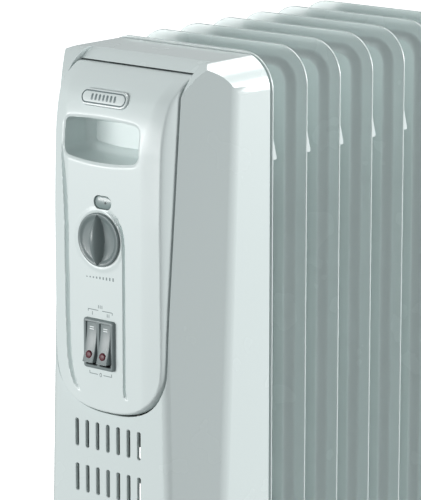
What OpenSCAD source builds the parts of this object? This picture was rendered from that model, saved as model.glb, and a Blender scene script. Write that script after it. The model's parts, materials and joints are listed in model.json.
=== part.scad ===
/* [Radiator] */
// Number of fins
fin_count = 7; // [5:1:9]
// Distance from one fin to the next
fin_pitch = 37; // [34:0.5:42]
// Width of a fin
fin_w = 154; // [150:1:170]
// Height of a fin
fin_h = 578; // [560:1:600]
// Radius of a fin's corners
fin_corner = 26; // [22:1:30]
// Thickness of the pressed sheet
sheet_t = 0.7; // [0.6:0.1:1]
// Width of the flat welded edge around a fin
flange_w = 9; // [8:0.5:11]
// How far the oil channel stands out on each side
bulge_h = 7.5; // [6:0.5:9]
// Width of the rounded shoulder of the oil channel
bulge_in = 5; // [4:0.5:6]
// Outer radius of the hub necks that join the fins
hub_r = 24; // [22:0.5:26]
// Distance of a hub's centre from the end of the fin
hub_end = 52; // [48:1:56]
// Length of a warm air slot in a fin
air_slot_l = 38; // [30:1:42]
// Distance from one warm air slot to the next
air_slot_pitch = 55.5; // [50:0.5:60]

/* [Control housing] */
// Depth from the first fin to the vented front
housing_d = 86; // [82:1:92]
// Wall of the housing
wall = 2.5; // [2:0.1:3]
// Gap between the first fin and the housing's rear edge
collar_gap = 2.5; // [2:0.1:4]
// Depth of the straight side at the top
crease_top = 30; // [26:1:36]
// Depth of the straight side at the bottom
crease_low = 75; // [70:1:78]
// Half width of the front at the top
rim_top = 36; // [34:1:40]
// Width of a vent
vent_w = 3; // [2:0.2:4]
// Height of a vent
vent_h = 19.7; // [16:0.1:22]
// Distance from one vent column to the next
vent_pitch = 9; // [8:0.2:10]
// Distance from one vent row to the next
vent_row = 32.3; // [28:0.1:36]
// Number of vent columns
vent_cols = 7; // [3:2:7]
// Number of vent rows
vent_rows = 9; // [4:1:9]

/* [Fascia and controls] */
// Depth from the first fin to the flat of the fascia
fascia_d = 91; // [89:0.5:93]
// Width of the grip recess
grip_w = 68; // [60:1:70]
// Height of the grip recess
grip_h = 27; // [24:1:30]
// Radius of the thermostat knob
knob_r = 18.6; // [17:0.1:20]
// Height of the knob's grip
knob_h = 9.5; // [8:0.5:13]
// Radius of the thermostat shaft
shaft_r = 3; // [2.5:0.1:3.5]
// Running clearance of shafts and pins
run = 0.05; // [0.02:0.01:0.1]
// Tilt of a rocker from its middle
rocker_tilt = 7; // [5:0.5:8]
// Bore of the inlet gland, for the supply lead
gland_bore_r = 3.8; // [3.5:0.1:4.2]

/* [Base and casters] */
// Overall height
total_h = 640; // [630:1:660]
// Length of a base bar
bar_l = 212; // [205:1:230]
// Width of a base bar
bar_w = 49; // [46:1:52]
// Thickness of a base bar
bar_t = 2.5; // [2:0.1:3]
// Depth of a base bar's folded edges
bar_lip = 12; // [8:1:13]
// Distance of a caster's stem from the middle
caster_x = 91; // [90:1:92]
// Radius of a caster wheel
wheel_r = 19; // [18:0.5:20]
// Width of a caster wheel
wheel_w = 8.5; // [7:0.5:9]
// How far the wheels trail behind the stem
trail = 14; // [10:1:15]

/* [Hidden] */
$fn = 48;
FINS = [for (i = [1:fin_count]) str("fin_", i)];
CASTERS = ["front_left", "front_right", "rear_left", "rear_right"];

// Heights
fin_low = total_h - fin_h;
fin_mid = total_h - fin_h / 2;
hub_high_z = total_h - hub_end;
hub_low_z = fin_low + hub_end;
housing_low = fin_low + 2;
housing_high = total_h - 2;
fascia_high = total_h - 10;
fascia_low = total_h - 246;
grip_z = total_h - 57;
pilot_z = total_h - 98;
pilot_x = 3;
pilot_w = 15;
knob_z = total_h - 124;
switch_z = total_h - 197;
badge_z = total_h - 28;

// Depths. The first fin's plane is y_first, and d is a depth in front of it.
rear_neck = 12;
cap_t = 2.5;
plug_head = 5;
rear_reach = (fin_count - 1) * fin_pitch + rear_neck + cap_t + plug_head;
front_reach = fascia_d + knob_h;
y_first = (front_reach - rear_reach) / 2;
function front(d) = y_first - d;
function fin_y(i) = y_first + (i - 1) * fin_pitch;
chassis_d = fin_pitch / 2 + cap_t;
tray_d = 60;

// Fin details
hub_bore = hub_r - 3;
web_w = 30;
web_x = 33;
web_h = fin_h - 190;
slot_x = 45;
slot_w = 5;
slots = 7;
lug_top = total_h - 57;
lug_l = 16;
lug_d = 4;

// Colours of the painted, moulded and plated pieces
paint = [0.85, 0.89, 0.88];
panel = [0.88, 0.91, 0.9];
grey = [0.5, 0.56, 0.56];
dark = [0.2, 0.22, 0.23];
steel = [0.7, 0.71, 0.72];
brass = [0.75, 0.62, 0.35];

// An outline drawn in X and Z, extruded from Y y0 to Y y1
module along_y(y0, y1)
    translate([0, y1, 0]) rotate([90, 0, 0]) linear_extrude(y1 - y0) children();

// An outline drawn in Y and Z, extruded from X x0 to X x1
module along_x(x0, x1)
    translate([x0, 0, 0]) rotate([90, 0, 90]) linear_extrude(x1 - x0) children();

module rod_y(r, y0, y1)
    translate([0, y1, 0]) rotate([90, 0, 0]) cylinder(r = r, h = y1 - y0);

module rod_x(r, x0, x1)
    translate([x0, 0, 0]) rotate([0, 90, 0]) cylinder(r = r, h = x1 - x0);

module rounded_rect(w, h, r) {
    square([w - 2 * r, h], center = true);
    square([w, h - 2 * r], center = true);
    for (sx = [-1, 1], sz = [-1, 1])
        translate([sx * (w / 2 - r), sz * (h / 2 - r)]) circle(r);
}

// ---- Radiator ----
module fin_rect(inset)
    translate([0, fin_mid]) rounded_rect(fin_w - 2 * inset, fin_h - 2 * inset, fin_corner - inset);

module channel_outline(inset) difference() {
    fin_rect(flange_w + inset);
    for (s = [-1, 1])
        translate([s * web_x, fin_mid]) rounded_rect(web_w + 2 * inset, web_h + 2 * inset, 10 + inset);
}

// The rounded oil channel, as steps that follow a quarter of an ellipse
module channel(y, skin)
    for (a = [30, 60, 90])
        along_y(y - bulge_h * sin(a) + skin, y + bulge_h * sin(a) - skin)
            channel_outline(bulge_in * (1 - cos(a)) + skin);

module hubs(r, y0, y1)
    for (z = [hub_low_z, hub_high_z])
        translate([0, 0, z]) rod_y(r, y0, y1);

module air_slots(y)
    for (s = [-1, 1], k = [0:slots - 1])
        along_y(y - 2, y + 2)
            translate([s * slot_x, fin_mid + (k - (slots - 1) / 2) * air_slot_pitch])
                rounded_rect(slot_w, air_slot_l, slot_w / 2 - 0.1);

// A folded lug that thickens towards its square lower end
module lug(s, y)
    along_x(s * (fin_w / 2 - sheet_t) - sheet_t, s * (fin_w / 2 - sheet_t) + sheet_t)
        polygon([[y, lug_top], [y + lug_d, lug_top - lug_l + 3], [y + lug_d, lug_top - lug_l], [y, lug_top - lug_l]]);

module fin(i) {
    y = fin_y(i);
    color(paint) difference() {
        union() {
            along_y(y - sheet_t, y + sheet_t) fin_rect(0);
            channel(y, 0);
            for (s = [-1, 1]) lug(s, y);
        }
        channel(y, sheet_t);
        hubs(hub_bore, y - bulge_h - 1, y + bulge_h + 1);
        air_slots(y);
    }
}

// The rings that join one fin's oil space to the next, and one at each end of the row
module hub_collars() color(paint) difference() {
    union() {
        hubs(hub_r, front(fin_pitch / 2), fin_y(1) - bulge_h);
        for (i = [1:fin_count - 1]) hubs(hub_r, fin_y(i) + bulge_h, fin_y(i + 1) - bulge_h);
        hubs(hub_r, fin_y(fin_count) + bulge_h, fin_y(fin_count) + rear_neck);
    }
    hubs(hub_bore, front(fin_pitch), fin_y(fin_count) + fin_pitch);
}

module cap(z, y) translate([0, 0, z]) rod_y(hub_r + 0.5, y, y + cap_t);

module hub_caps() {
    rear = fin_y(fin_count) + rear_neck;
    color(paint) {
        cap(hub_low_z, rear);
        cap(hub_high_z, front(fin_pitch / 2) - cap_t);
        difference() {
            cap(hub_high_z, rear);
            translate([0, 0, hub_high_z]) rod_y(6, rear - 1, rear + cap_t + 1);
        }
    }
}

module filler_plug() {
    face = fin_y(fin_count) + rear_neck + cap_t;
    color(brass) translate([0, 0, hub_high_z]) {
        rod_y(6, face - 10, face);
        translate([0, face + plug_head, 0]) rotate([90, 0, 0]) cylinder(r = 10, h = plug_head, $fn = 6);
    }
}

// ---- Heating ----
element_r = 4;
element_gap = 8;
module hairpin(s) {
    y0 = front(fin_pitch / 2 + 20);
    y1 = fin_y(fin_count) - 10;
    for (e = [-1, 1])
        translate([s * element_gap, 0, hub_low_z + e * element_gap]) rod_y(element_r, y0, y1);
    translate([s * element_gap, y1, hub_low_z]) rotate([0, 90, 0]) rotate([0, 0, 90])
        rotate([0, 0, -90]) rotate_extrude(angle = 180) translate([element_gap, 0]) circle(element_r);
}

module heating_element() color(steel) for (s = [-1, 1]) hairpin(s);

module element_holes(y0, y1)
    for (sx = [-1, 1], sz = [-1, 1])
        translate([sx * element_gap, 0, hub_low_z + sz * element_gap]) rod_y(element_r + run, y0, y1);

module element_flange() {
    y = front(fin_pitch / 2 + 2);
    color(brass) difference() {
        translate([0, 0, hub_low_z]) union() {
            rod_y(hub_r + 2, y - 5, y);
            translate([0, y - 5, 0]) rotate([90, 0, 0]) cylinder(r = hub_r - 1, h = 6, $fn = 6);
        }
        element_holes(y - 12, y + 1);
    }
}

module element_gasket() {
    y = front(fin_pitch / 2 + 2);
    color(dark) difference() {
        translate([0, 0, hub_low_z]) rod_y(hub_r, y, y + 2);
        translate([0, 0, hub_low_z]) rod_y(hub_bore, y - 1, y + 3);
    }
}

module thermal_cutout() {
    y = front(chassis_d + 1.5);
    color(dark) translate([36, 0, total_h - 60]) {
        rod_y(8, y - 6, y);
        for (s = [-1, 1]) translate([s * 3.5 - 0.4, y - 14, -3]) cube([0.8, 8, 6]);
    }
}

// ---- Control housing ----
// Everything outside the slanted plane that forms one cheek
cheek_down = [0, crease_top - crease_low, -fin_h];
cheek_in = [rim_top - fin_w / 2, crease_top - housing_d, 0];
cheek_n = -cross(cheek_down, cheek_in) / norm(cross(cheek_down, cheek_in));
module cheek(s, t)
    mirror([s < 0 ? 1 : 0, 0, 0]) translate([fin_w / 2, front(crease_top), total_h])
        rotate([0, -asin(cheek_n[2]), atan2(cheek_n[1], cheek_n[0])])
            translate([-t, -300, -700]) cube([200, 600, 900]);

// Side view: upright front, a brow that rolls back to a sloping visor, level top.
// Each brow point: distance behind the front, drop below the overall height.
brow = [[0, 70], [0.7, 60], [2.6, 50], [6, 40], [10.5, 31], [16, 23.2], [22, 16.6], [29, 10.4], [35.5, 5.6],
        [40, 3], [44, 2]];
function brow_turn(k) = 90 * k / (len(brow) - 1);
module housing_profile(t)
    polygon(concat(
        [[front(-10), housing_low + t], [front(housing_d - t), housing_low + t]],
        [for (k = [0:len(brow) - 1])
            [front(housing_d - brow[k][0] - t * cos(brow_turn(k))), total_h - brow[k][1] - t * sin(brow_turn(k))]],
        [[front(-10), housing_high - t]]));

module housing_solid(t) difference() {
    intersection() {
        along_x(-fin_w, fin_w) housing_profile(t);
        along_y(front(housing_d + 5), front(t > 0 ? 0 : collar_gap)) fin_rect(0.6 + t);
    }
    for (s = [-1, 1]) cheek(s, t);
}

module vents()
    for (c = [0:vent_cols - 1], r = [0:vent_rows - 1])
        along_y(front(housing_d + 1), front(housing_d - wall - 1))
            translate([(c - (vent_cols - 1) / 2) * vent_pitch, fascia_low - 19 - r * vent_row])
                rounded_rect(vent_w, vent_h, vent_w / 2 - 0.1);

// Front view of the fascia: level top, nearly upright sides, round lower end
fascia_w_top = 56;
fascia_w_low = 50;
fascia_drop = 40;
module fascia_outline(grow)
    polygon(concat(
        [[-fascia_w_top - grow, fascia_high + grow], [fascia_w_top + grow, fascia_high + grow]],
        [for (a = [0:10:180])
            [(fascia_w_low + grow) * cos(a), fascia_low + fascia_drop - (fascia_drop + grow) * sin(a)]]));

module control_housing() color(paint) difference() {
    housing_solid(0);
    housing_solid(wall);
    along_y(front(housing_d + 5), front(40)) fascia_outline(0.4);
    vents();
    translate([0, front(tray_d), housing_low - 1]) cylinder(r = 6, h = wall + 2);
    for (s = [-1, 1]) translate([s * 22, front(26), housing_low - 1]) cylinder(r = 1.6, h = wall + 2);
}

// One level of the fascia: flat middle, falling shoulders, swept back edges
module fascia_level(z, middle, shoulder, edge, t)
    translate([0, 0, z]) linear_extrude(0.01)
        polygon([for (s = [-1, 1], p = s < 0
            ? [[edge[0] - t, 20], [edge[0] - t, edge[1] - t], [shoulder[0] - t / 2, shoulder[1] - t], [24, middle - t]]
            : [[24, middle - t], [shoulder[0] - t / 2, shoulder[1] - t], [edge[0] - t, edge[1] - t], [edge[0] - t, 20]])
            [s * p[0], front(p[1])]]);

module fascia_solid(t) intersection() {
    hull() {
        fascia_level(fascia_high - t, 60, [47, 58], [56.5, 53], t);
        fascia_level(total_h - 17, 75, [48, 64], [56.4, 56], t);
        fascia_level(total_h - 28, 84.5, [49, 70], [56, 60], t);
        fascia_level(total_h - 45, 89, [48.2, 76], [55.3, 64], t);
        fascia_level(total_h - 90, fascia_d, [44, 84], [53, 70], t);
        fascia_level(total_h - 215, fascia_d, [42, 87], [52, 79], t);
        fascia_level(fascia_low - 1, 88, [40, 87], [50, 80], t);
    }
    along_y(front(fascia_d + 5), front(45)) fascia_outline(-t);
}

module grip_outline(grow) translate([0, grip_z])
    rounded_rect(grip_w + 2 * grow, grip_h + 2 * grow, 5 + grow);

// The badge lies in a pocket, tilted with the fascia's upper curve
badge_tilt = 21;
badge_d = 84.5;
module badge_shape(grow, out, in)
    translate([0, front(badge_d), badge_z]) rotate([-badge_tilt, 0, 0])
        along_y(-out, in) rounded_rect(42 + 2 * grow, 11.5 + 2 * grow, 5.6 + grow);

chassis_t = 1.5;
post_x = 40;
post_r = 3.5;
post_d = 76;
post_screw_r = 1.5;
post_screw_l = 3;
posts = [total_h - 110, total_h - 200];
module at_posts() for (s = [-1, 1], z = posts) translate([s * post_x, 0, z]) children();

grip_back = 66;
shaft_hole = 5.5;
module control_fascia() color(panel) difference() {
    union() {
        difference() {
            fascia_solid(0);
            fascia_solid(wall);
        }
        intersection() {
            union() {
                along_y(front(fascia_d), front(grip_back - 2)) grip_outline(2);
                badge_shape(2, 2, 3);
                at_posts() rod_y(post_r, front(fascia_d), front(post_d + 0.1));
            }
            fascia_solid(0);
        }
    }
    badge_shape(0.1, 6, 1.1);
    at_posts() rod_y(post_screw_r + 0.1, front(post_d + post_screw_l + 0.3), front(post_d));
    along_y(front(fascia_d + 5), front(grip_back)) grip_outline(0);
    translate([0, 0, knob_z]) rod_y(shaft_hole, front(fascia_d + 5), front(fascia_d - 8));
    along_y(front(fascia_d + 5), front(fascia_d - 8)) translate([pilot_x, pilot_z]) rounded_rect(pilot_w + 0.2, 9, 4.4);
    along_y(front(fascia_d + 5), front(fascia_d - 8)) translate([0, switch_z]) square([25.4, 32.4], center = true);
    for (s = [-1, 1])
        translate([s * 24 - 1, front(fascia_d + 1), fascia_low + 14]) cube([2, 2, grip_z - 30 - fascia_low]);
}

module badge_plate() color(panel)
    badge_shape(0, 1.6, 1);

module pilot_window() color(grey)
    along_y(front(fascia_d), front(fascia_d - 3)) translate([pilot_x, pilot_z]) rounded_rect(pilot_w, 8.8, 4.3);

module pilot_lamp() color([0.9, 0.45, 0.2]) translate([pilot_x, 0, pilot_z]) {
    rod_y(2.5, front(fascia_d - 6), front(fascia_d - 16));
    translate([0, front(fascia_d - 6), 0]) sphere(r = 2.5);
}

module chassis_plate() color(steel) difference() {
    union() {
        along_y(front(chassis_d + chassis_t), front(chassis_d))
            translate([0, total_h - 165]) rounded_rect(100, 250, 6);
        for (s = [-1, 1])
            translate([s * 20 - chassis_t / 2, front(tray_d), total_h - 222]) cube([chassis_t, tray_d - chassis_d, 125]);
        translate([-20, front(tray_d), total_h - 222]) cube([40, chassis_t, 125]);
    }
    for (s = [-1, 1], z = [hub_high_z - 12, hub_high_z + 12])
        translate([s * 12, 0, z]) rod_y(1.6, front(chassis_d + 3), front(chassis_d - 1));
}

module screw_y(r, head_r, y0, y1) {
    rod_y(r, y0, y1);
    rod_y(head_r, y0 - 2, y0);
}

module chassis_screws() color(steel)
    for (s = [-1, 1], z = [hub_high_z - 12, hub_high_z + 12])
        translate([s * 12, 0, z]) screw_y(1.6, 3.2, front(chassis_d + chassis_t), front(chassis_d));

// Screws with long collars that reach forward from the chassis to the fascia's inside
module fascia_screws() color(steel)
    at_posts() {
        rod_y(post_r, front(post_d), front(chassis_d + chassis_t));
        rod_y(post_screw_r, front(post_d + post_screw_l), front(post_d));
    }

bracket_t = 2;
module lower_bracket() color(steel) difference() {
    translate([-30, front(40), fin_low]) cube([60, 38, bracket_t]);
    for (s = [-1, 1]) translate([s * 22, front(26), fin_low - 1]) cylinder(r = 1.6, h = bracket_t + 2);
}

module housing_screws() color(steel)
    for (s = [-1, 1]) translate([s * 22, front(26), 0]) {
        translate([0, 0, fin_low]) cylinder(r = 1.55, h = 9);
        translate([0, 0, fin_low - 2]) cylinder(r = 3.2, h = 2);
    }

module terminal_block() color(dark) {
    face = front(chassis_d + chassis_t);
    translate([-18, face - 12, total_h - 278]) cube([36, 12, 16]);
    for (k = [-1:1]) translate([k * 11, 0, total_h - 266]) rod_y(2.4, face - 14, face - 12);
}

lead_r = 1.2;
lead_paths = [
    [[-11, -40, -264], [-11, -40, -240], [-9, -54, -225], [-9, -56.5, -212]],
    [[0, -40, -264], [2, -40, -240], [9, -54, -225], [9, -56.5, -212]],
    [[11, -40, -264], [26, -40, -240], [30, -40, -120], [34, -37, -66]],
    [[-8, -40.5, -518], [-22, -40, -480], [-30, -40, -300], [-26, -42, -226], [-25, -62, -200], [-18.2, -66, -136]]];
module lead(points) {
    spots = [for (p = points) [p[0], y_first + p[1], total_h + p[2]]];
    for (k = [1:len(spots) - 1]) {
        run_to = spots[k] - spots[k - 1];
        translate(spots[k - 1]) rotate([0, acos(run_to[2] / norm(run_to)), atan2(run_to[1], run_to[0])])
            cylinder(r = lead_r, h = norm(run_to), $fn = 16);
        translate(spots[k]) sphere(r = lead_r + 0.2, $fn = 16);
    }
}

module wiring_loom() color("white") for (p = lead_paths) lead(p);

module cord_gland() color(dark) difference() {
    translate([0, front(tray_d), 0]) union() {
        translate([0, 0, housing_low - 3]) cylinder(r = 9, h = 3);
        translate([0, 0, housing_low]) cylinder(r = 6, h = wall + 6);
    }
    translate([0, front(tray_d), housing_low - 4]) cylinder(r = gland_bore_r, h = wall + 12);
}

// ---- Thermostat ----
knob_gap = 0.4;
module thermostat_body() color(dark) difference() {
    union() {
        translate([-16, front(84), knob_z - 16]) cube([32, 24, 32]);
        translate([0, 0, knob_z]) rod_y(5, front(fascia_d), front(84));
    }
    translate([0, 0, knob_z]) rod_y(shaft_r + run, front(fascia_d + 1), front(66));
}

module thermostat_shaft() color(steel) translate([0, 0, knob_z])
    rod_y(shaft_r, front(fascia_d + 5), front(66.5));

// Rim, shallow dish and a pointed lens of a grip with an arched crest
module thermostat_knob() {
    foot = fascia_d + knob_gap;
    lens_r = 33;
    color(grey) difference() {
        translate([0, 0, knob_z]) union() {
            rotate([90, 0, 0]) translate([0, 0, -y_first + foot]) rotate_extrude()
                polygon([[0, 0], [knob_r, 0], [knob_r, 1], [knob_r - 1, 1.8], [knob_r - 4, 1.5], [8, 1], [0, 1]]);
            intersection() {
                translate([lens_r - 4.5, 0, 0]) rod_y(lens_r, front(fascia_d + knob_h), front(foot + 0.5));
                translate([4.5 - lens_r, 0, 0]) rod_y(lens_r, front(fascia_d + knob_h), front(foot + 0.5));
                translate([0, front(foot - 12), 0]) rod_x(knob_h + 12 - knob_gap, -10, 10);
            }
        }
        translate([0, 0, knob_z]) rod_y(shaft_r, front(fascia_d + 5), front(fascia_d - 1));
    }
}

// ---- Switch ----
rocker_x = 6.2;
rocker_w = 9.4;
rocker_l = 28;
pivot_d = 87.5;
pivot_r = 1.2;
bezel_t = 2.5;
side_play = 0.3;
module switch_windows(y0, y1)
    for (s = [-1, 1])
        along_y(y0, y1) translate([s * rocker_x, switch_z])
            square([rocker_w + 2 * side_play, rocker_l + 2], center = true);

module switch_bezel() color(grey) difference() {
    along_y(front(fascia_d + bezel_t), front(fascia_d)) translate([0, switch_z]) rounded_rect(27.5, 35, 2);
    switch_windows(front(fascia_d + bezel_t + 1), front(fascia_d - 1));
}

module switch_body() color(dark) difference() {
    along_y(front(fascia_d), front(tray_d)) translate([0, switch_z]) square([25, 32], center = true);
    switch_windows(front(fascia_d + 1), front(pivot_d - 9));
    translate([0, front(pivot_d), switch_z]) rod_x(pivot_r + run, -12.2, 12.2);
}

module rocker(s) color(grey) translate([s * rocker_x, front(pivot_d), switch_z]) difference() {
    rotate([-rocker_tilt, 0, 0]) union() {
        along_x(-rocker_w / 2, rocker_w / 2)
            polygon([[-8.6, 0.4 - rocker_l / 2], [-6.6, -4], [-6, 4], [-6.8, rocker_l / 2], [-2, rocker_l / 2 - 1], [5, 3], [5, -3],
                     [-2, 1 - rocker_l / 2]]);
        rod_x(pivot_r, -rocker_w / 2 - 1.1, rocker_w / 2 + 1.1);
    }
    lens_place() rod_y(lens_size, -4, 4);
}

lens_size = 2.9;
module lens_place() rotate([-rocker_tilt, 0, 0]) translate([0, -7.6, -8.3]) children();

module lens(s) color([0.45, 0.05, 0.1]) translate([s * rocker_x, front(pivot_d), switch_z])
    lens_place() rod_y(lens_size, -0.9, 3.9);

// ---- Base and casters ----
plate_low = fin_low - bar_t;
module base_bar(y) color(paint) difference() {
    union() {
        translate([0, y, plate_low]) linear_extrude(bar_t) rounded_rect(bar_l, bar_w, 8);
        for (s = [-1, 1])
            translate([-bar_l / 2 + 8, y + s * (bar_w - bar_t) / 2 - bar_t / 2, fin_low - bar_lip])
                cube([bar_l - 16, bar_t, bar_lip]);
    }
    for (s = [-1, 1]) {
        translate([s * caster_x, y, plate_low - 1]) cylinder(r = 7, h = bar_t + 2);
        translate([s * bolt_x, y, plate_low - 1]) cylinder(r = 2.7, h = bar_t + 2);
    }
}

bolt_x = hub_r + 2.8;
bar_ys = [fin_y(1.5), fin_y(fin_count - 0.5)];
module u_bolts() color(steel) for (y = bar_ys) {
    for (s = [-1, 1]) translate([s * bolt_x, y, fin_low - 14]) cylinder(r = 2.5, h = hub_low_z - fin_low + 14);
    translate([0, y, hub_low_z]) rotate([90, 0, 0]) rotate_extrude(angle = 180) translate([bolt_x, 0]) circle(2.5);
}

module wing_nuts() color(steel) for (y = bar_ys, s = [-1, 1])
    translate([s * bolt_x, y, plate_low - 6]) difference() {
        union() {
            cylinder(r = 5, h = 6);
            for (e = [-1, 1]) translate([e * 6.5 - 3.5, -1, -3]) cube([7, 2, 7]);
        }
        translate([0, 0, -4]) cylinder(r = 2.6, h = 12);
    }

socket_h = 22;
module caster_sockets() color(dark) for (y = bar_ys, s = [-1, 1])
    translate([s * caster_x, y, plate_low]) difference() {
        union() {
            translate([0, 0, -1.2]) cylinder(r = 9, h = 1.2);
            cylinder(r = 7, h = socket_h);
        }
        translate([0, 0, -2]) cylinder(r = 4 + run, h = socket_h);
    }

function caster_spot(k) = [(k % 2 == 0 ? -1 : 1) * caster_x, bar_ys[k < 2 ? 0 : 1], 0];

boss_top = plate_low - 1.5;
web_t = 6;
hood_r = wheel_r + 3;
boss_low = wheel_r + hood_r - 1;
module caster_fork(k) color(dark) translate(caster_spot(k)) difference() {
    union() {
        translate([0, 0, boss_low]) cylinder(r = 9, h = boss_top - boss_low);
        translate([-web_t / 2, -8, boss_low - 12]) cube([web_t, 16, 14]);
        translate([0, 0, boss_top]) cylinder(r = 4, h = socket_h - 4);
        intersection() {
            union() {
                translate([0, trail, wheel_r]) rod_x(hood_r, -web_t / 2, web_t / 2);
                translate([0, trail, wheel_r]) difference() {
                    rod_x(hood_r, -web_t / 2 - wheel_w - 1.2, web_t / 2 + wheel_w + 1.2);
                    rod_x(hood_r - 2, -30, 30);
                }
            }
            translate([-20, -20, wheel_r - 6]) cube([40, 60, 60]);
        }
    }
    translate([0, trail, wheel_r]) rod_x(3 + run, -10, 10);
}

module caster_axle(k) color(steel) translate(caster_spot(k))
    translate([0, trail, wheel_r]) rod_x(3, -web_t / 2 - wheel_w, web_t / 2 + wheel_w);

module caster_wheels(k) color(dark) translate(caster_spot(k)) translate([0, trail, wheel_r])
    for (s = [-1, 1]) rotate([0, s * 90, 0]) translate([0, 0, web_t / 2 + 0.4]) rotate_extrude()
        polygon([[3, 0], [wheel_r - 1, 0], [wheel_r, 1], [wheel_r, wheel_w - 2.4], [wheel_r - 2, wheel_w - 0.6],
                 [wheel_r - 6, wheel_w - 1.2], [wheel_r - 8, wheel_w - 2.6], [6, wheel_w - 2.6], [5, wheel_w - 0.4],
                 [3, wheel_w - 0.4]]);

for (i = [1:fin_count]) fin(i);
hub_collars();
hub_caps();
filler_plug();
heating_element();
element_flange();
element_gasket();
thermal_cutout();
control_housing();
control_fascia();
badge_plate();
pilot_window();
pilot_lamp();
chassis_plate();
chassis_screws();
fascia_screws();
lower_bracket();
housing_screws();
terminal_block();
wiring_loom();
cord_gland();
thermostat_body();
thermostat_shaft();
thermostat_knob();
switch_bezel();
switch_body();
rocker(-1);  // rocker_left
rocker(1);  // rocker_right
lens(-1);  // lens_left
lens(1);  // lens_right
base_bar(bar_ys[0]);  // base_bar_front
base_bar(bar_ys[1]);  // base_bar_rear
u_bolts();
wing_nuts();
caster_sockets();
for (k = [0:3]) {
    caster_fork(k);
    caster_axle(k);
    caster_wheels(k);
}
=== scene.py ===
import json
import math
import bmesh
import bpy
import numpy as np
from mathutils import Matrix, Vector


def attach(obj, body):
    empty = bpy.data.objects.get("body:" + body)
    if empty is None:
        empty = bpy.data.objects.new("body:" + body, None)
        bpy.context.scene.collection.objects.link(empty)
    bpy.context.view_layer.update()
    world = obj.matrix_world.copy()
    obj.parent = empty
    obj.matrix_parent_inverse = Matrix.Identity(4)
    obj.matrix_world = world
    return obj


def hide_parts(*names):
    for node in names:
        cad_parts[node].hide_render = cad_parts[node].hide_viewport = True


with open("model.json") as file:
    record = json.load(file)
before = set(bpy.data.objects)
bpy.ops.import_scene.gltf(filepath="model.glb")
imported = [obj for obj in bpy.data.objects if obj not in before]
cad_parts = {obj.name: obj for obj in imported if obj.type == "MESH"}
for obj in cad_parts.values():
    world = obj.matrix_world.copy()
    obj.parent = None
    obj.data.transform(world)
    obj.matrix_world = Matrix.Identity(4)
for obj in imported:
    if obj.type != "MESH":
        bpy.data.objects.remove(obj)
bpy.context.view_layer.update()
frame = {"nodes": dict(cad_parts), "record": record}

print("heater: frame loaded,", len(frame["nodes"]), "nodes")

# Sizes are in millimetres here, and every mesh is made in metres
heater = {"top": 640.0, "firstFin": -70.5, "pitch": 37.0, "fins": 7}


def spot(x, y, z):
    return Vector((x / 1000, y / 1000, z / 1000))


def front(depth):  # a depth in front of the first fin, as a Y
    return heater["firstFin"] - depth


class Signal:  # one socket of a node tree, that can stand in an expression
    def __init__(self, tree, socket=None):
        self.tree, self.socket = tree, socket

    def node(self, kind, settings=None, values=None, out=0):
        made = self.tree.nodes.new(kind)
        for key, value in (settings or {}).items():
            setattr(made, key, value)
        for key, value in (values or {}).items():
            if isinstance(value, Signal):
                self.tree.links.new(value.socket, made.inputs[key])
            else:
                made.inputs[key].default_value = value
        return Signal(self.tree, made.outputs[out]) if len(made.outputs) else None

    def at(self, name):  # another output of the same node
        return Signal(self.tree, self.socket.node.outputs[name])

    def math(self, operation, *values):
        return self.node("ShaderNodeMath", {"operation": operation}, dict(enumerate(values)))

    def __add__(self, other):
        return self.math("ADD", self, other)

    def __radd__(self, other):
        return self.math("ADD", other, self)

    def __sub__(self, other):
        return self.math("SUBTRACT", self, other)

    def __mul__(self, other):
        return self.math("MULTIPLY", self, other)


# Finishes: a clouded, finely grained surface for each material slot
def noise(start, scale, detail=2.0, stretch=None):
    place = start.node("ShaderNodeTexCoord", out="Object")
    if stretch:
        place = start.node("ShaderNodeMapping", None, {"Vector": place, "Scale": stretch})
    return start.node("ShaderNodeTexNoise", None, {"Vector": place, "Scale": scale, "Detail": detail})


def blendColours(start, amount, dark, light):
    values = {0: amount, 6: (*dark, 1), 7: (*light, 1)}
    return start.node("ShaderNodeMix", {"data_type": "RGBA"}, values, out=2)


def finishSurface(name, look):
    material = bpy.data.materials.new(name)
    material.use_nodes = True
    tree = material.node_tree
    tree.nodes.clear()
    start = Signal(tree)
    cloud = noise(start, look["cloud"], 4.0)
    grain = noise(start, look["grain"], 2.0, look.get("stretch"))
    smudge = noise(start, look["cloud"] * 5, 3.0)
    shade = cloud * 0.7 + grain * 0.3
    colour = blendColours(start, shade, look["dark"], look["light"])
    rough = look["rough"] + (smudge - 0.5) * look["roughSpread"]
    bump = start.node("ShaderNodeBump", None, {"Strength": look["bump"], "Distance": 0.0002, "Height": grain})
    values = {"Base Color": colour, "Roughness": rough, "Metallic": look.get("metal", 0.0), "Normal": bump,
              "Coat Weight": look.get("coat", 0.0), "Coat Roughness": look.get("coatRough", 0.1),
              "IOR": 1.5}
    surface = start.node("ShaderNodeBsdfPrincipled", None, values)
    start.node("ShaderNodeOutputMaterial", None, {"Surface": surface})
    return material


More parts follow.
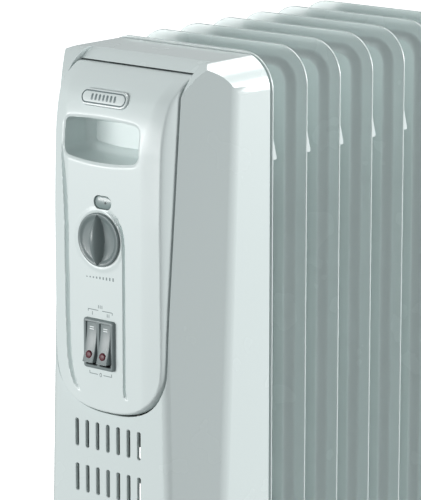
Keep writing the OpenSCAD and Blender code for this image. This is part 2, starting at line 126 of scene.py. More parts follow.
enamel = {"cloud": 5.0, "grain": 620.0, "bump": 0.05, "rough": 0.27, "roughSpread": 0.03, "coat": 0.5,
          "coatRough": 0.12}
moulded = {"cloud": 9.0, "grain": 1500.0, "bump": 0.06, "rough": 0.34, "roughSpread": 0.1, "coat": 0.25,
           "coatRough": 0.2}
plated = {"cloud": 14.0, "grain": 300.0, "bump": 0.12, "rough": 0.36, "roughSpread": 0.2, "metal": 1.0,
          "stretch": (1.0, 1.0, 0.12)}
looks = {
    "painted_fins": {**enamel, "dark": (0.64, 0.72, 0.71), "light": (0.67, 0.745, 0.735)},
    "painted_housing": {**enamel, "dark": (0.665, 0.745, 0.735), "light": (0.69, 0.765, 0.755)},
    "fascia_plastic": {**moulded, "dark": (0.66, 0.74, 0.73), "light": (0.71, 0.785, 0.775)},
    "badge": {**moulded, "dark": (0.68, 0.75, 0.745), "light": (0.73, 0.80, 0.79), "coat": 0.6},
    "pilot_window": {**moulded, "dark": (0.20, 0.27, 0.265), "light": (0.26, 0.33, 0.325), "coat": 0.8},
    "pilot_lamp": {**moulded, "dark": (0.55, 0.22, 0.08), "light": (0.7, 0.3, 0.12), "coat": 0.9},
    "knob_plastic": {**moulded, "dark": (0.16, 0.20, 0.20), "light": (0.20, 0.245, 0.245), "coat": 0.1},
    "switch_plastic": {**moulded, "dark": (0.17, 0.21, 0.21), "light": (0.21, 0.255, 0.255), "coat": 0.1},
    "red_lens": {**moulded, "dark": (0.07, 0.004, 0.012), "light": (0.11, 0.006, 0.018), "coat": 0.0,
                 "rough": 0.42, "roughSpread": 0.05},
    "painted_base": {**enamel, "dark": (0.62, 0.70, 0.69), "light": (0.68, 0.755, 0.745)},
    "zinc_steel": {**plated, "dark": (0.45, 0.46, 0.47), "light": (0.66, 0.67, 0.68)},
    "element_steel": {**plated, "dark": (0.26, 0.21, 0.18), "light": (0.5, 0.46, 0.42)},
    "brass": {**plated, "dark": (0.50, 0.34, 0.12), "light": (0.72, 0.53, 0.25), "rough": 0.28},
    "gasket_rubber": {**moulded, "dark": (0.012, 0.012, 0.013), "light": (0.03, 0.03, 0.032), "rough": 0.7,
                      "coat": 0.0, "bump": 0.2},
    "dark_plastic": {**moulded, "dark": (0.02, 0.022, 0.023), "light": (0.04, 0.043, 0.045), "rough": 0.5,
                     "coat": 0.0},
    "caster_plastic": {**moulded, "dark": (0.03, 0.034, 0.035), "light": (0.055, 0.06, 0.062),
                       "rough": 0.46, "coat": 0.1, "bump": 0.15},
    "lead_insulation": {**moulded, "dark": (0.6, 0.58, 0.52), "light": (0.75, 0.73, 0.68), "rough": 0.55,
                        "coat": 0.0},
}
finishes = {name: finishSurface(name, look) for name, look in looks.items()}
printedGrey = finishSurface("printedGrey", {**moulded, "dark": (0.17, 0.22, 0.225),
                                            "light": (0.21, 0.26, 0.265), "coat": 0.1})
printedWhite = finishSurface("printedWhite", {**moulded, "dark": (0.72, 0.78, 0.78),
                                              "light": (0.8, 0.86, 0.86), "coat": 0.1})
shadowGrey = finishSurface("shadowGrey", {**moulded, "dark": (0.05, 0.06, 0.062),
                                          "light": (0.075, 0.088, 0.09), "rough": 0.5, "coat": 0.0})
slotOf = {part["node"]: part["material_slot"] for part in frame["record"]["subparts"]}
for name, node in frame["nodes"].items():
    node.data.materials.clear()
    node.data.materials.append(finishes[slotOf[name]])
print("heater: finishes mixed")


# Outlines, lofts and cuts that the pieces share
def roundedLoop(width, height, radius, y, x=0.0, z=0.0, steps=8):
    radius = max(min(radius, width / 2 - 0.001, height / 2 - 0.001), 0.001)
    points = []
    for corner, (sideX, sideZ) in enumerate(((1, 1), (-1, 1), (-1, -1), (1, -1))):
        for k in range(steps + 1):
            angle = math.pi / 2 * (corner + k / steps)
            points.append(spot(x + sideX * (width / 2 - radius) + radius * math.cos(angle), y,
                               z + sideZ * (height / 2 - radius) + radius * math.sin(angle)))
    return points


def ringLoop(radius, y, x=0.0, z=0.0, steps=48):
    angles = [2 * math.pi * k / steps for k in range(steps)]
    return [spot(x + radius * math.cos(angle), y, z + radius * math.sin(angle)) for angle in angles]


def loft(bm, loops, capStart=True, capEnd=True, look=0):
    rings = [[bm.verts.new(point) for point in loop] for loop in loops]
    for a, b in zip(rings, rings[1:]):
        for k in range(len(a)):
            n = (k + 1) % len(a)
            bm.faces.new((a[k], a[n], b[n], b[k])).material_index = look
    if capStart:
        bm.faces.new(rings[0][::-1]).material_index = look
    if capEnd:
        bm.faces.new(rings[-1]).material_index = look
    return rings


def bridge(bm, a, b):
    for k in range(len(a)):
        n = (k + 1) % len(a)
        bm.faces.new((a[k], a[n], b[n], b[k]))


def fillAround(bm, rings):  # one flat face, with the other rings as its holes
    edges = []
    for ring in rings:
        for k in range(len(ring)):
            pair = (ring[k], ring[(k + 1) % len(ring)])
            edges.append(bm.edges.get(pair) or bm.edges.new(pair))
    bmesh.ops.triangle_fill(bm, use_beauty=True, edges=edges)


def makeObject(name, bm, materials, sharp=34):
    bmesh.ops.remove_doubles(bm, verts=bm.verts[:], dist=1e-7)
    bmesh.ops.recalc_face_normals(bm, faces=bm.faces[:])
    mesh = bpy.data.meshes.new(name)
    bm.to_mesh(mesh)
    bm.free()
    for material in materials:
        mesh.materials.append(material)
    mesh.shade_smooth()
    mesh.set_sharp_from_angle(angle=math.radians(sharp))
    made = bpy.data.objects.new(name, mesh)
    bpy.context.collection.objects.link(made)
    return made


def settle(made):  # the evaluated shape becomes the object's own plain mesh
    shape = made.evaluated_get(bpy.context.evaluated_depsgraph_get())
    mesh = bpy.data.meshes.new_from_object(shape)
    made.modifiers.clear()
    made.data = mesh
    return made


def fit(made, body, slotName, *nodes):
    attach(made, body)
    if nodes:
        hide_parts(*nodes)
    return made


def carve(made, cutter):
    cut = made.modifiers.new("carve", "BOOLEAN")
    cut.operation, cut.solver, cut.object = "DIFFERENCE", "MANIFOLD", cutter
    settle(made)
    bpy.data.objects.remove(cutter)
    return made


def evenNormals(made, sharp):
    made.data.shade_smooth()
    made.data.set_sharp_from_angle(angle=math.radians(sharp))
    weighted = made.modifiers.new("evenNormals", "WEIGHTED_NORMAL")
    weighted.keep_sharp = True
    return settle(made)


def rowTree():  # repeats a shape along a line
    tree = bpy.data.node_groups.new("repeatInRow", "GeometryNodeTree")
    sockets = {"Shape": "Geometry", "Count": "Int", "Start": "Vector", "Step": "Vector", "Finish": "Material"}
    for label, kind in sockets.items():
        tree.interface.new_socket(label, in_out="INPUT", socket_type="NodeSocket" + kind)
    tree.interface.new_socket("Row", in_out="OUTPUT", socket_type="NodeSocketGeometry")
    start = Signal(tree)
    given = start.node("NodeGroupInput")
    spread = {"Count": given.at("Count"), "Start Location": given.at("Start"), "Offset": given.at("Step")}
    line = start.node("GeometryNodeMeshLine", {"mode": "OFFSET"}, spread)
    shapes = {"Points": line, "Instance": given.at("Shape")}
    copies = start.node("GeometryNodeInstanceOnPoints", None, shapes)
    real = start.node("GeometryNodeRealizeInstances", None, {"Geometry": copies})
    coated = start.node("GeometryNodeSetMaterial", None, {"Geometry": real, "Material": given.at("Finish")})
    start.node("NodeGroupOutput", None, {"Row": coated})
    return tree


rowOf = rowTree()
rowInput = {item.name: item.identifier for item in rowOf.interface.items_tree if item.in_out == "INPUT"}


def repeat(made, count, start, step, material):
    row = made.modifiers.new("row", "NODES")
    row.node_group = rowOf
    row[rowInput["Count"]] = count
    row[rowInput["Start"]] = tuple(start)
    row[rowInput["Step"]] = tuple(step)
    row[rowInput["Finish"]] = material
    return made


# Fins and the hub necks that join them
fin = {"width": 154.0, "height": 578.0, "middle": 351.0, "corner": 26.0, "sheet": 0.8, "flange": 8.3,
       "shoulder": 6.2, "bulge": 7.5, "windowX": 33.0, "windowWidth": 30.0, "windowHeight": 388.0,
       "slotX": 45.0, "slotWidth": 5.0, "slotHeight": 38.0, "slotStep": 55.5, "slots": 7,
       "windowCorner": 10.0, "lugTop": 583.0, "lugLength": 16.0, "lugDepth": 4.0}


def swell(t):  # a smooth rise from 0 to 1
    return (1 - math.cos(math.pi * t)) / 2


def finRow():
    bm = bmesh.new()
    rise = fin["bulge"] - fin["sheet"]
    rim = [(0.0, 0.35), (0.14, 0.6), (0.4, 0.74), (0.8, fin["sheet"]), (4.5, fin["sheet"]),
           (fin["flange"] - 0.6, fin["sheet"])]
    rim += [(fin["flange"] + fin["shoulder"] * k / 9, fin["sheet"] + rise * swell(k / 9)) for k in range(10)]
    rim += [(fin["flange"] + fin["shoulder"] + 0.8, fin["bulge"])]

    def outline(inset, y):
        return roundedLoop(fin["width"] - 2 * inset, fin["height"] - 2 * inset, fin["corner"] - inset, y,
                           0, fin["middle"], 10)

    loops = [outline(inset, -y) for inset, y in rim[::-1]] + [outline(inset, y) for inset, y in rim]
    rings = loft(bm, loops, False, False)
    slotRings = {}
    for side, edge in ((-1, rings[0]), (1, rings[-1])):
        mouths = []
        for sideX in (-1, 1):
            walls = [(5.8 * (1 - k / 7), fin["bulge"] - rise * swell(k / 7)) for k in range(8)]
            walls = [(6.4, fin["bulge"])] + walls + [(-0.5, fin["sheet"])]
            shape = [roundedLoop(fin["windowWidth"] + 2 * grow, fin["windowHeight"] + 2 * grow,
                                 fin["windowCorner"] + grow, side * y, sideX * fin["windowX"], fin["middle"])
                     for grow, y in walls]
            panel = loft(bm, shape, False, False)
            mouths.append(panel[0])
            slots = []
            for k in range(fin["slots"]):
                z = fin["middle"] + (k - (fin["slots"] - 1) / 2) * fin["slotStep"]
                loop = roundedLoop(fin["slotWidth"] - 0.8, fin["slotHeight"], 2.1, side * fin["sheet"],
                                   sideX * (fin["slotX"] - 0.5), z, 4)
                slots.append([bm.verts.new(point) for point in loop])
                slotRings[side, sideX, k] = slots[-1]
            fillAround(bm, [panel[-1]] + slots)
        fillAround(bm, [edge] + mouths)
    for sideX in (-1, 1):
        for k in range(fin["slots"]):
            bridge(bm, slotRings[-1, sideX, k], slotRings[1, sideX, k])
    for sideX in (-1, 1):  # folded lugs
        top, low = fin["lugTop"], fin["lugTop"] - fin["lugLength"]
        shape = [(0.2, top), (1.2, top - 4), (2.6, top - 9), (3.6, low + 3.4), (fin["lugDepth"], low + 2.4),
                 (fin["lugDepth"], low + 0.4), (3.7, low), (0.2, low)]
        x0, x1 = sideX * (fin["width"] / 2 - 1.3), sideX * (fin["width"] / 2 - 0.05)
        loft(bm, [[spot(x, y, z) for y, z in shape] for x in (x0, x1)])
    made = makeObject("finRow", bm, [finishes["painted_fins"]], 40)
    repeat(made, heater["fins"], spot(0, heater["firstFin"], 0), spot(0, heater["pitch"], 0),
           finishes["painted_fins"])
    evenNormals(settle(made), 40)
    return fit(made, "radiator", "painted_fins", *[f"fin_{k + 1}" for k in range(heater["fins"])])


neck = {"radius": 24.0, "flare": 4.6, "low": 114.0, "high": 588.0, "seam": 0.5, "seamFrom": 15.0,
        "rear": 12.0, "sunk": 0.2}


def neckLoops(length, z, flareStart=True, flareEnd=True):
    half = length / 2
    rows = []
    for k in range(7):  # flare, tangent to the fin at its foot
        angle = math.pi / 2 * k / 6
        rows.append((neck["radius"] + neck["flare"] * (1 - math.sin(angle)),
                     -half + neck["flare"] * (1 - math.cos(angle))))
    if not flareStart:
        rows = [(neck["radius"] - 0.5, -half), (neck["radius"], -half + 0.5)]
    middle = [(neck["radius"], -1.6), (neck["radius"] - neck["seam"], -1.0), (neck["radius"] - 0.1, -0.4),
              (neck["radius"] - 0.1, 0.4), (neck["radius"] - neck["seam"], 1.0), (neck["radius"], 1.6)]
    ends = [(radius, -y) for radius, y in rows[::-1]]
    if not flareEnd:
        ends = [(neck["radius"], half - 0.5), (neck["radius"] - 0.5, half)]
    if length > neck["seamFrom"]:
        rows = rows + middle
    return [ringLoop(radius, y, 0, z) for radius, y in rows + ends]


def necks():
    bm = bmesh.new()
    gap = heater["pitch"] - 2 * (fin["bulge"] - neck["sunk"])
    for z in (neck["low"], neck["high"]):
        loft(bm, neckLoops(gap, z))
    row = makeObject("hubNecks", bm, [finishes["painted_fins"]])
    repeat(row, heater["fins"] - 1, spot(0, heater["firstFin"] + heater["pitch"] / 2, 0),
           spot(0, heater["pitch"], 0), finishes["painted_fins"])
    settle(row)
    fit(row, "radiator", "painted_fins", "hub_collars")
    bm = bmesh.new()
    stub = heater["pitch"] / 2 - fin["bulge"] + neck["sunk"]
    rearStub = neck["rear"] - fin["bulge"] + neck["sunk"]
    lastFin = heater["firstFin"] + (heater["fins"] - 1) * heater["pitch"]
    for z in (neck["low"], neck["high"]):
        for length, y, first, last in ((stub, front(fin["bulge"] - neck["sunk"] + stub / 2), False, True),
                                       (rearStub, lastFin + neck["rear"] - rearStub / 2, False, False)):
            loops = neckLoops(length, z, first, last)
            loft(bm, [[point + spot(0, y, 0) for point in loop] for loop in loops])
    fit(makeObject("hubEnds", bm, [finishes["painted_fins"]]), "radiator", "painted_fins")


finRow()
necks()
print("heater: fins pressed and joined")

# Control housing
housing = {"low": 64.0, "high": 638.0, "rear": 2.5, "front": 86.0, "halfWidth": 76.4, "corner": 25.4,
           "cornerHigh": 614.0, "cornerLow": 88.0, "wall": 2.5, "softEdge": 4.6, "openTo": 44.0,
           "brow": [(46.0, 638.0), (50.0, 637.4), (54.0, 635.9), (58.5, 633.0), (63.5, 628.6), (68.5, 622.8),
                    (73.5, 615.2), (78.0, 606.0), (82.0, 594.8), (84.7, 582.0), (86.0, 567.0)],
           "visor": [(40.5, 639.0), (43.0, 637.7), (47.0, 636.4), (51.0, 633.6), (57.0, 629.0),
                     (59.0, 627.2), (92.0, 627.2), (92.0, 642.0), (40.5, 642.0)]}
# Each slanted cheek is a plane: x * across + depth * forward = reach + z * drop below the top
cheeks = {1: {"x": 0.8685, "depth": 0.4957, "z": 0.0211, "reach": 84.55},
          -1: {"x": 0.8125, "depth": 0.5829, "z": 0.0248, "reach": 83.48}}
vent = {"x": 1.5, "width": 3.0, "height": 19.7, "step": 9.5, "row": 32.3, "columns": 7, "rows": 9,
        "firstZ": 375.0, "dimple": 1.4}
fasciaOutline = {"x": 4.0, "top": 630.0, "low": 394.0, "drop": 40.0, "wideTop": 51.8, "wideLow": 49.0,
                 "power": 2.5, "gap": 1.1}


def fasciaLoop(y, grow, steps=24):
    line = fasciaOutline
    wide, deep, share = line["wideLow"] + grow, line["drop"] + grow, 2 / line["power"]
    points = [spot(line["x"] + side * (line["wideTop"] + grow), y, line["top"] + grow) for side in (1, -1)]
    for k in range(steps + 1):
        across, down = math.cos(math.pi * k / steps), math.sin(math.pi * k / steps)
        points.append(spot(line["x"] - wide * math.copysign(abs(across) ** share, across), y,
                           line["low"] + line["drop"] - deep * down ** share))
    return points


def cutAway(bm, point, normal):  # keeps what lies behind the plane
    parts = bm.verts[:] + bm.edges[:] + bm.faces[:]
    cut = bmesh.ops.bisect_plane(bm, geom=parts, plane_co=point, plane_no=normal, clear_outer=True, dist=1e-7)
    edges = [part for part in cut["geom_cut"] if isinstance(part, bmesh.types.BMEdge)]
    if len(edges) > 2:
        bmesh.ops.contextual_create(bm, geom=edges)


def foldedBox():  # the closed outer form, with its cheeks, brow and round corners
    bm = bmesh.new()
    box = housing
    wide, high, low = box["halfWidth"], box["high"], box["low"]
    loft(bm, [[spot(x, front(depth), z) for x, z in ((wide, low), (wide, high), (-wide, high), (-wide, low))]
              for depth in (box["rear"], box["front"])])
    bmesh.ops.recalc_face_normals(bm, faces=bm.faces[:])
    for side, plane in sorted(cheeks.items()):
        cutAway(bm, spot(side * plane["reach"] / plane["x"], front(0), heater["top"]),
                Vector((side * plane["x"], -plane["depth"], plane["z"])))
    bmesh.ops.recalc_face_normals(bm, faces=bm.faces[:])

    def onCheek(face):
        return 0.5 < abs(face.normal.x) < 0.95

    creases = [edge for edge in bm.edges if len(edge.link_faces) == 2
               and sum(onCheek(face) for face in edge.link_faces) == 1
               and all(abs(face.normal.z) < 0.5 and face.normal.y < 0.5 for face in edge.link_faces)]
    bmesh.ops.bevel(bm, geom=creases, offset=box["softEdge"] / 1000, segments=5, profile=0.5, affect="EDGES")
    for (d0, z0), (d1, z1) in zip(box["brow"], box["brow"][1:]):
        cutAway(bm, spot(0, front(d0), z0), Vector((0, z1 - z0, d1 - d0)).normalized())
    for side in (-1, 1):
        for up, centre in ((1, box["cornerHigh"]), (-1, box["cornerLow"])):
            for k in range(1, 14):
                angle = math.pi / 2 * k / 14
                cutAway(bm, spot(side * (wide - box["corner"] * (1 - math.cos(angle))), 0,
                                 centre + up * box["corner"] * math.sin(angle)),
                        Vector((side * math.cos(angle), 0, up * math.sin(angle))))
    bmesh.ops.recalc_face_normals(bm, faces=bm.faces[:])
    return bm


def sinkVisor(made):  # the sunk strip between the two ridges
    bm = bmesh.new()
    half = fasciaOutline["wideTop"] + fasciaOutline["gap"]
    loft(bm, [[spot(fasciaOutline["x"] + side * half, front(depth), z) for depth, z in housing["visor"]]
              for side in (-1, 1)])
    bmesh.ops.recalc_face_normals(bm, faces=bm.faces[:])
    carve(made, makeObject("visorCutter", bm, []))


def hollowOut(made):  # the open rear, and one wall thickness all round
    bm = bmesh.new()
    bm.from_mesh(made.data)
    rear = [face for face in bm.faces if face.normal.y > 0.99]
    bmesh.ops.delete(bm, geom=rear, context="FACES_ONLY")
    bm.to_mesh(made.data)
    bm.free()
    shell = made.modifiers.new("wall", "SOLIDIFY")
    shell.thickness, shell.offset, shell.use_even_offset = housing["wall"] / 1000, -1.0, True
    settle(made)


def openFront(made):
    bm = bmesh.new()
    loft(bm, [fasciaLoop(front(depth), fasciaOutline["gap"])
              for depth in (housing["front"] + 6, housing["openTo"])])
    carve(made, makeObject("fasciaCutter", bm, []))


def cutVents(made):
    bm = bmesh.new()
    face, finish = housing["front"], finishes["painted_housing"]
    profile = ((face + 1, vent["dimple"]), (face - 0.55, 0.0), (face - housing["wall"] - 1, 0.0))
    loft(bm, [roundedLoop(vent["width"] + grow, vent["height"] + grow, vent["width"] / 2, front(depth),
                          0, 0, 5) for depth, grow in profile])
    slots = makeObject("ventCutter", bm, [])
    firstX = vent["x"] - (vent["columns"] - 1) / 2 * vent["step"]
    repeat(slots, vent["columns"], spot(firstX, 0, 0), spot(vent["step"], 0, 0), finish)
    repeat(slots, vent["rows"], spot(0, 0, vent["firstZ"]), spot(0, 0, -vent["row"]), finish)
    settle(slots)
    carve(made, slots)


def controlHousing():
    made = makeObject("controlHousing", foldedBox(), [finishes["painted_housing"]])
    sinkVisor(made)
    hollowOut(made)
    openFront(made)
    cutVents(made)
    evenNormals(made, 24)
    return fit(made, "radiator", "painted_housing", "control_housing")


controlHousing()
print("heater: housing folded and vented")

# Fascia
fascia = {"depth": 91.0, "skirt": 52.0, "shell": 2.8, "gapDepth": 57.4, "topLean": 16.0, "flatHalf": 32.0,
          "flatSpread": 9.0, "shoulderSlope": 0.22, "sideSlope": 3.4, "sideRound": 3.6, "gripTop": 596.5,
          "gripLow": 572.0, "gripHalf": 34.0, "gripCorner": 5.0, "gripDepth": 63.0, "bowTop": 1.8,
          "bowLow": 3.2, "gripLip": 1.3, "knobZ": 516.0, "ring": 20.4, "ringRise": 0.55, "shaftHole": 5.5,
          "pilotX": 3.0, "pilotZ": 542.0, "switchZ": 443.0, "badgeZ": 612.0, "badgeDepth": 84.5,
          "badgeTilt": 21.0}
# Each groove: points (x, drop below the top, half width, depth)
grooves = [
    [(-35.6, 64, 1.2, 1.2), (-34.0, 78, 1.9, 2.6), (-32.4, 92, 2.3, 3.4), (-31.2, 110, 2.3, 3.4),
     (-30.8, 140, 2.3, 3.4), (-30.4, 180, 2.3, 3.4), (-29.4, 208, 2.1, 3.2), (-27.4, 220, 1.8, 2.8),
     (-24.0, 228, 1.3, 1.8), (-20.0, 232, 0.8, 0.6)],
    [(6.0, 103.4, 0.5, 0.4), (10.4, 104.9, 0.8, 1.6), (15.0, 108.2, 1.0, 2.6), (18.8, 113.4, 1.0, 3.0),
     (20.8, 119.0, 1.0, 3.0), (21.5, 126, 1.0, 3.0), (21.5, 180, 1.0, 3.0), (21.4, 226, 1.0, 3.0),
     (21.9, 230, 0.9, 2.0), (23.8, 231.6, 0.7, 0.8)]]


def halfWidthAt(z):
    line = fasciaOutline
    share = (z - line["low"] - line["drop"]) / (line["top"] - line["low"] - line["drop"])
    return line["wideLow"] + (line["wideTop"] - line["wideLow"]) * np.clip(share, 0, 1)


def softLeast(a, b, radius):
    gap = np.clip((radius - np.abs(a - b)) / radius, 0, None)
    return np.minimum(a, b) - gap * gap * radius / 4


def gripEdge(x, z):  # distance outside the grip's outline, less than 0 within it
    bow = 1 - np.clip(np.abs(x) / fascia["gripHalf"], 0, 1) ** 2
    high, low = fascia["gripTop"] + fascia["bowTop"] * bow, fascia["gripLow"] - fascia["bowLow"] * bow
    r = fascia["gripCorner"]
    dx = np.abs(x) - (fascia["gripHalf"] - r)
    dz = np.abs(z - (high + low) / 2) - ((high - low) / 2 - r)
    return np.hypot(np.clip(dx, 0, None), np.clip(dz, 0, None)) + np.minimum(np.maximum(dx, dz), 0) - r


def cheekDepth(x, z):
    drop = heater["top"] - z
    right, left = [(plane["reach"] - plane["x"] * np.abs(x) + plane["z"] * drop) / plane["depth"]
                   for plane in (cheeks[1], cheeks[-1])]
    return np.minimum(np.where(x > 0, right, left), housing["front"])


def fasciaShape(x, z):  # the depth of the bare moulding
    drop = heater["top"] - z
    line = fasciaOutline
    ax = np.abs(x - line["x"])
    lean = 1 - np.clip((drop - 10) / 65, 0, 1)
    crest = fascia["depth"] - fascia["topLean"] * lean ** 2.8
    flat = fascia["flatHalf"] + fascia["flatSpread"] * np.clip((z - 572) / 50, 0, 1) ** 1.5
    crown = (0.2 + 1.0 * np.clip(1 - drop / 60, 0, None)) * (np.minimum(ax, flat) / 34) ** 2
    slope = fascia["shoulderSlope"] + 0.3 * np.clip(1 - drop / 110, 0, None) ** 1.3
    past = np.clip(ax - flat, 0, None)
    shoulder = slope * past ** 2 / (past + 2.5)
    over = np.sqrt(1 - np.clip((28 - drop) / 18, 0, 1) ** 2)  # rolls back to the gap below the visor
    face = fascia["gapDepth"] + over * (crest - crown - shoulder - fascia["gapDepth"])
    down = np.clip(line["low"] + line["drop"] - z, 0, None) / line["drop"]
    reach = (1 - np.clip(down, 0, 1) ** line["power"]) ** (1 / line["power"])
    radial = (np.abs(ax / line["wideLow"]) ** line["power"] + down ** line["power"]) ** (1 / line["power"])
    inside = np.where(down > 0, (1 - radial) * 44, halfWidthAt(z) - ax)
    inside = np.clip(np.minimum(inside, (line["top"] - z) + 0.6), 0, None)
    foot = cheekDepth(line["x"] + np.sign(x - line["x"]) * halfWidthAt(z) * reach, z)
    side = foot - 0.8 + fascia["sideSlope"] * inside
    return softLeast(face, side, fascia["sideRound"]) - 0.9 * np.clip(1 - inside / 1.1, 0, 1) ** 2


def grooveDepth(groove, x, z):
    drop = heater["top"] - z
    deepest = np.zeros_like(x)
    for (x0, d0, w0, h0), (x1, d1, w1, h1) in zip(groove, groove[1:]):
        span = (x1 - x0) ** 2 + (d1 - d0) ** 2
        t = np.clip(((x - x0) * (x1 - x0) + (drop - d0) * (d1 - d0)) / span, 0, 1)
        far = np.hypot(x - x0 - t * (x1 - x0), drop - d0 - t * (d1 - d0))
        here = (h0 + t * (h1 - h0)) * np.clip(1 - (far / (w0 + t * (w1 - w0))) ** 2, 0, 1) ** 0.7
        deepest = np.maximum(deepest, here)
    return deepest


def fasciaDepth(x, z):  # with the grip's lip, the knob's ring and the grooves
    depth = fasciaShape(x, z) - fascia["gripLip"] * np.clip(1 - gripEdge(x, z) / 2.2, 0, 1) ** 2
    ring = np.hypot(x, z - fascia["knobZ"]) - fascia["ring"]
    depth = depth + fascia["ringRise"] * np.clip(1 - np.abs(ring) / 1.7, 0, 1) ** 0.6
    for groove in grooves:
        depth = depth - grooveDepth(groove, x, z)
    return depth


def fasciaGrid(inset):  # even rows, closer ones at the roll, and rows round the lower end
    line = fasciaOutline
    near = (list(np.linspace(0, 13, 8)) + list(np.linspace(13.5, 21, 18)) + list(np.linspace(22, 31, 8))
            + list(np.linspace(31.5, 41, 22)))
    outer = [1 - (1 - k / 18) ** 1.4 for k in range(1, 19)]
    step = line["low"] + line["drop"]
    wideLow, deep, share = line["wideLow"] - inset, line["drop"] - inset, 2 / line["power"]
    rows = [(line["top"] - 12 * (k / 22) ** 1.8, None) for k in range(22)]
    rows += [(z, None) for z in np.linspace(line["top"] - 12, step, 184)]
    rows += [(None, angle) for angle in np.radians(np.linspace(2.5, 88.5, 44))]
    xs, zs = [], []
    for z, angle in rows:
        if angle is None:
            z = step + (z - step) * (line["top"] - inset - step) / (line["top"] - step)
            wide = float(halfWidthAt(z)) - inset
            half = near + [near[-1] + (wide - near[-1]) * part for part in outer]
        else:
            z = step - deep * math.sin(angle) ** share
            wide = wideLow * math.cos(angle) ** share
            full = near + [near[-1] + (wideLow - near[-1]) * part for part in outer]
            half = [x * wide / wideLow for x in full]
        xs.append([line["x"] - x for x in half[:0:-1]] + [line["x"] + x for x in half])
        zs.append([z] * len(xs[-1]))
    return np.array(xs), np.array(zs)


def badgeFrame():
    return (Matrix.Translation(spot(0, front(fascia["badgeDepth"]), fascia["badgeZ"]))
            @ Matrix.Rotation(math.radians(-fascia["badgeTilt"]), 4, "X"))


def gripLoop(depth, shrink, steps=14):
    half, r = fascia["gripHalf"] - shrink, fascia["gripCorner"] - shrink * 0.4
    levels = {1: fascia["gripTop"] - shrink, -1: fascia["gripLow"] + shrink}
    bows = {1: fascia["bowTop"], -1: -fascia["bowLow"]}

    def bowed(x, z, up):
        return spot(x, front(depth), z + bows[up] * (1 - min(abs(x) / fascia["gripHalf"], 1) ** 2))

    def straight(side, up):
        return [bowed(side * (half - r) * (1 - 2 * k / steps), levels[up], up) for k in range(steps + 1)]

    def corner(side, up, first, last):  # in twelfths of half a turn
        angles = [math.pi * k / 12 for k in range(first, last)]
        return [bowed(side * (half - r) + r * math.cos(angle), levels[up] - up * r + r * math.sin(angle), up)
                for angle in angles]

    return (straight(1, 1) + corner(-1, 1, 7, 12) + corner(-1, -1, 12, 18)
            + straight(-1, -1) + corner(1, -1, 19, 24) + corner(1, 1, 0, 6))


def fasciaSheets(bm):  # the outer and the inner skin, as rows of vertices
    outerX, outerZ = fasciaGrid(0.0)
    innerX, innerZ = fasciaGrid(2.5)
    bare = fasciaShape(innerX, innerZ) - fascia["shell"]
    inner = np.where(gripEdge(innerX, innerZ) < 3.5, np.minimum(bare, fascia["gripDepth"] - 2.5), bare - 1.2)
    sheets = []
    for x, z, depth in ((outerX, outerZ, fasciaDepth(outerX, outerZ)), (innerX, innerZ, inner)):
        rows = [[bm.verts.new(spot(x[j, i], front(depth[j, i]), z[j, i])) for i in range(x.shape[1])]
                for j in range(x.shape[0])]
        for a, b in zip(rows, rows[1:]):
            for i in range(len(a) - 1):
                bm.faces.new((a[i], a[i + 1], b[i + 1], b[i]))
        sheets.append(rows)
    return sheets


def fasciaPockets():  # the grip, and the holes for shaft, window, switch and badge
    bm = bmesh.new()
    grip = [(100, 0.0), (88, 0.0), (78, 0.5), (71, 1.3), (68.2, 2.6), (66.9, 4.4), (fascia["gripDepth"], 6.5)]
    through = (100, 55)
    loft(bm, [gripLoop(depth, shrink) for depth, shrink in grip])
    loft(bm, [ringLoop(fascia["shaftHole"], front(depth), 0, fascia["knobZ"], 32) for depth in through])
    loft(bm, [roundedLoop(16.0, 9.4, 4.6, front(depth), fascia["pilotX"] - 0.3, fascia["pilotZ"])
              for depth in through])
    loft(bm, [roundedLoop(25.4, 32.4, 0.4, front(depth), 0, fascia["switchZ"], 2) for depth in through])
    place = badgeFrame()
    loft(bm, [[place @ point for point in roundedLoop(42.6, 12.1, 6.0, y)] for y in (-7, 1.1)])
    return bm


def controlFascia():
    bm = bmesh.new()
    sheets = fasciaSheets(bm)
    tall, wide = len(sheets[0]), len(sheets[0][0])
    around = [(0, i) for i in range(wide)] + [(j, wide - 1) for j in range(1, tall)]
    around += [(tall - 1, i) for i in range(wide - 2, -1, -1)] + [(j, 0) for j in range(tall - 2, 0, -1)]
    outer, inner = [[rows[j][i] for j, i in around] for rows in sheets]
    outerLow, innerLow = [[bm.verts.new((v.co.x, front(fascia["skirt"]) / 1000, v.co.z)) for v in edge]
                          for edge in (outer, inner)]
    bridge(bm, outer, outerLow)
    bridge(bm, outerLow, innerLow)
    bridge(bm, innerLow, inner)
    made = makeObject("controlFascia", bm, [finishes["fascia_plastic"], shadowGrey], 40)
    carve(made, makeObject("fasciaPockets", fasciaPockets(), []))
    made.data.shade_smooth()
    made.data.set_sharp_from_angle(angle=math.radians(40))
    return fit(made, "radiator", "fascia_plastic", "control_fascia")


controlFascia()
print("heater: fascia moulded")

# Badge, pilot window and printed marks
badge = {"width": 42.0, "height": 11.5, "corner": 5.65, "bars": 7, "barStep": 3.4,
         "barWidth": 1.7, "barHeight": 4.6}
pilot = {"width": 14.8, "height": 8.8, "corner": 4.3, "dotX": 2.4, "dot": 0.9}


